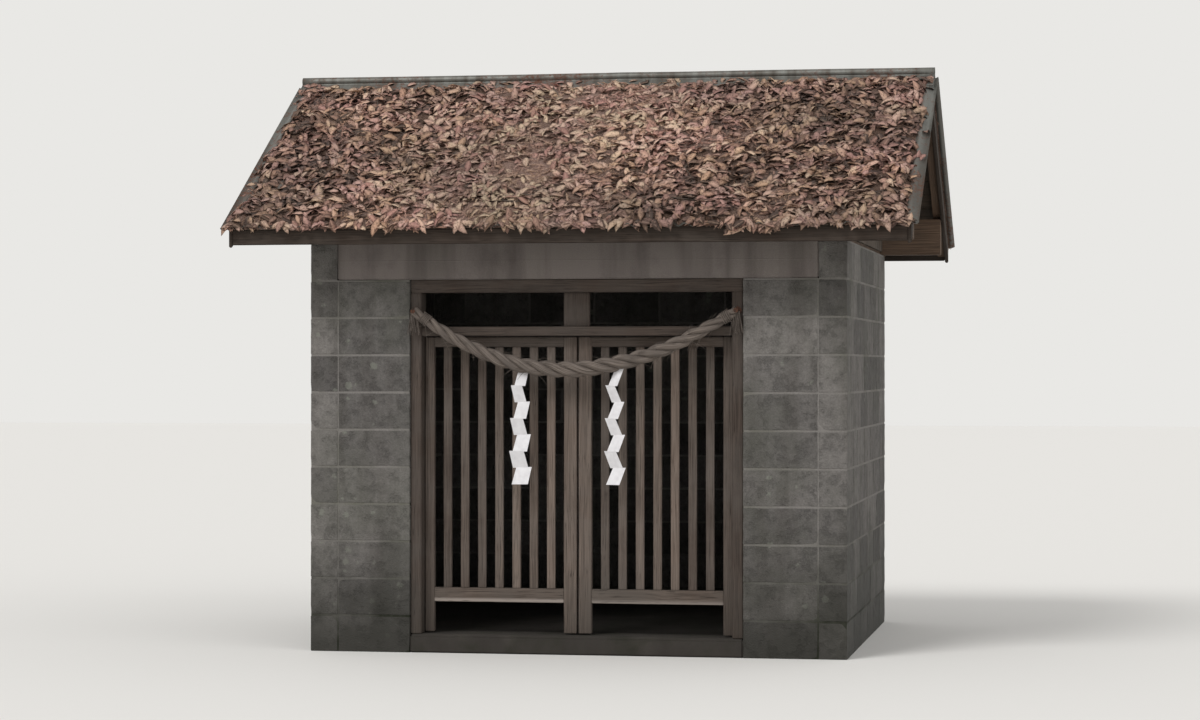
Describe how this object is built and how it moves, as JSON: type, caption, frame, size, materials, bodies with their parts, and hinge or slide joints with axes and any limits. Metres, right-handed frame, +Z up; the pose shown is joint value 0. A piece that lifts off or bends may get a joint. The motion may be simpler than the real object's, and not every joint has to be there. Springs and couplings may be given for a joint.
{
  "type": "wayside shrine shelter",
  "caption": "Small concrete-block shrine shelter with a gabled corrugated roof under fallen leaves, slatted timber doors that swing inward, and a hanging straw rope with paper streamers.",
  "frame": {"origin": "on the ground at the centre of the plan, under the floor slab", "axes": "+Z up, front with the doorway towards -Y, +X along the ridge to the right as seen from the front"},
  "size_m": [3.66, 3.1192, 3.2096],
  "materials": {
    "block_concrete": "weathered concrete blocks with mortar joints, algae and a damp foot",
    "cast_concrete": "rough cast concrete, worn and mossy",
    "old_timber": "weathered grey-brown softwood, matt",
    "dark_timber": "darkened damp softwood, matt",
    "zinc_sheet": "dull zinc-coated corrugated sheet with rust at the edges",
    "forged_iron": "rusted forged iron",
    "rice_straw": "weathered twisted rice straw",
    "white_paper": "folded white paper, matt"
  },
  "bodies": {
    "shelter": {"floor_slab": "cast_concrete", "threshold": "cast_concrete", "left_side_wall": "block_concrete", "right_side_wall": "block_concrete", "back_wall": "block_concrete", "left_front_pier": "block_concrete", "right_front_pier": "block_concrete", "front_lintel": "cast_concrete", "left_post": "dark_timber", "right_post": "dark_timber", "head_rail": "dark_timber", "transom_rail": "dark_timber", "transom_strut": "old_timber", "front_wall_plate": "old_timber", "back_wall_plate": "old_timber", "ridge_purlin": "old_timber", "gable_beams": "old_timber", "gable_struts": "old_timber", "left_gable_boards": "dark_timber", "right_gable_boards": "dark_timber", "front_rafters": "old_timber", "back_rafters": "old_timber", "front_roof_boards": "dark_timber", "back_roof_boards": "dark_timber", "front_bargeboards": "dark_timber", "back_bargeboards": "dark_timber", "eave_fascias": "dark_timber", "front_roof_sheet": "zinc_sheet", "back_roof_sheet": "zinc_sheet", "ridge_cap": "zinc_sheet", "hinge_pintles": "forged_iron", "rope_spikes": "forged_iron", "straw_rope": "rice_straw", "left_streamer": "white_paper", "right_streamer": "white_paper"},
    "left_door": {"left_door_hinge_stile": "old_timber", "left_door_meeting_stile": "old_timber", "left_door_rails": "old_timber", "left_door_slats": "old_timber", "left_door_hinges": "forged_iron"},
    "right_door": {"right_door_hinge_stile": "old_timber", "right_door_meeting_stile": "old_timber", "right_door_rails": "old_timber", "right_door_slats": "old_timber", "right_door_hinges": "forged_iron"}
  },
  "joints": [
    {"name": "left_door_hinge", "type": "hinge", "parent": "shelter", "child": "left_door", "pos_m": [-0.8375, -1.063, 0.4], "axis": [0, 0, 1], "range_deg": [0, 95]},
    {"name": "right_door_hinge", "type": "hinge", "parent": "shelter", "child": "right_door", "pos_m": [0.8375, -1.063, 0.4], "axis": [0, 0, -1], "range_deg": [0, 95]}
  ]
}
